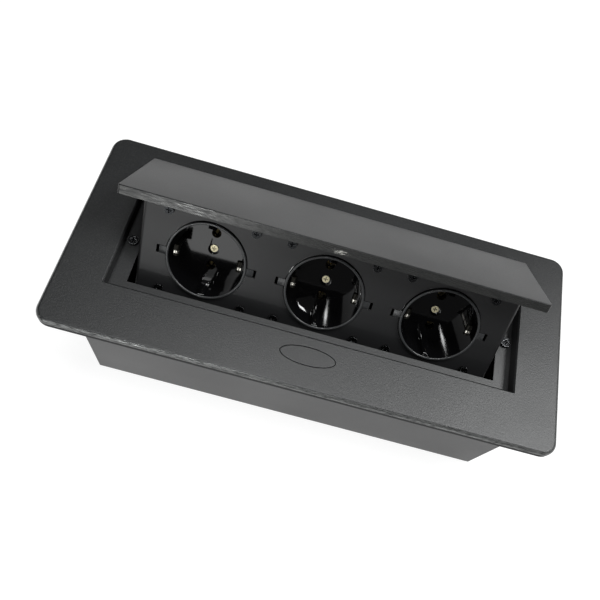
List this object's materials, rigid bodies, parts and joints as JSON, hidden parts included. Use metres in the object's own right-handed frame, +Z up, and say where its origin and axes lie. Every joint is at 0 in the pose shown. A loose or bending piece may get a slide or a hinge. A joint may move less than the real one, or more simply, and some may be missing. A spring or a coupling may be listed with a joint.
{
  "type": "flip-up desk power box",
  "caption": "Flush desk plate with a sprung flip-up lid and panel of earthed sockets, an oval push button at the front and a steel tray below.",
  "frame": {"origin": "middle of the tray's underside, below the middle of the desk plate", "axes": "+Z up, +X along the plate to the right, the push button on the -Y side"},
  "size_m": [0.27, 0.12, 0.0982],
  "materials": {
    "black_aluminium": "fine matte black powder coat",
    "black_steel": "matte black powder coat on folded steel sheet",
    "zinc_steel": "dark zinc plate",
    "spring_steel": "bright spring steel",
    "rubber": "moulded rubber",
    "black_nylon": "moulded nylon",
    "white_acetal": "moulded acetal",
    "gloss_black": "polished black moulding",
    "black_screw": "black oxide",
    "brass": "bright brass"
  },
  "bodies": {
    "base": {"top_frame": "black_aluminium", "box_tray": "black_steel", "tray_ends": "black_steel", "ledge_frame": "black_steel", "end_bracket_left": "black_steel", "end_bracket_right": "black_steel", "bracket_screws": "zinc_steel", "frame_screws": "zinc_steel", "pivot_pin_left": "zinc_steel", "pivot_pin_right": "zinc_steel", "pin_clips": "zinc_steel", "torsion_spring_left": "spring_steel", "torsion_spring_right": "spring_steel", "stop_posts": "zinc_steel", "stop_sleeves": "rubber", "damper_housing": "black_nylon", "damper_screws": "zinc_steel", "button_guide": "black_steel", "guide_screws": "zinc_steel", "button_spring": "spring_steel", "catch_spring": "spring_steel", "catch_screw": "zinc_steel", "gland_body": "black_nylon", "gland_nut": "black_nylon", "terminal_block": "white_acetal", "terminal_screws": "brass"},
    "flip_unit": {"lid": "black_aluminium", "socket_panel": "black_steel", "lid_screws": "zinc_steel", "socket_housing_1": "gloss_black", "socket_housing_2": "gloss_black", "socket_housing_3": "gloss_black", "earth_clip_1": "brass", "earth_clip_2": "brass", "earth_clip_3": "brass", "pin_contacts_1": "brass", "pin_contacts_2": "brass", "pin_contacts_3": "brass", "rear_cover_1": "gloss_black", "rear_cover_2": "gloss_black", "rear_cover_3": "gloss_black", "centre_screws": "brass", "panel_screws": "black_screw", "live_bar": "brass", "neutral_bar": "brass", "gear_sector": "white_acetal", "sector_rivets": "zinc_steel"},
    "button": {"release_button": "black_aluminium", "push_rod": "zinc_steel"},
    "damper_gear": {"damper_pinion": "white_acetal"}
  },
  "joints": [
    {"name": "flip", "type": "hinge", "parent": "base", "child": "flip_unit", "pos_m": [0, 0.0437, 0.0287], "axis": [1, 0, 0], "range_deg": [0, 35.6], "stiffness_Nm_per_rad": 0.3, "springref_deg": -68.75, "deforming": ["torsion_spring_left", "torsion_spring_right", "catch_spring"]},
    {"name": "button_press", "type": "slide", "parent": "base", "child": "button", "axis": [0, 0, -1], "range_m": [0, 0.0025], "stiffness_N_per_m": 400, "springref_m": -0.004, "deforming": ["button_spring", "catch_spring"]},
    {"name": "damper_turn", "type": "hinge", "parent": "base", "child": "damper_gear", "pos_m": [0.1, 0.0341, 0.01207], "axis": [1, 0, 0], "range_deg": [-110, 0]}
  ],
  "couplings": [
    {"joint": "damper_turn", "follows": "flip", "ratio": -3}
  ]
}
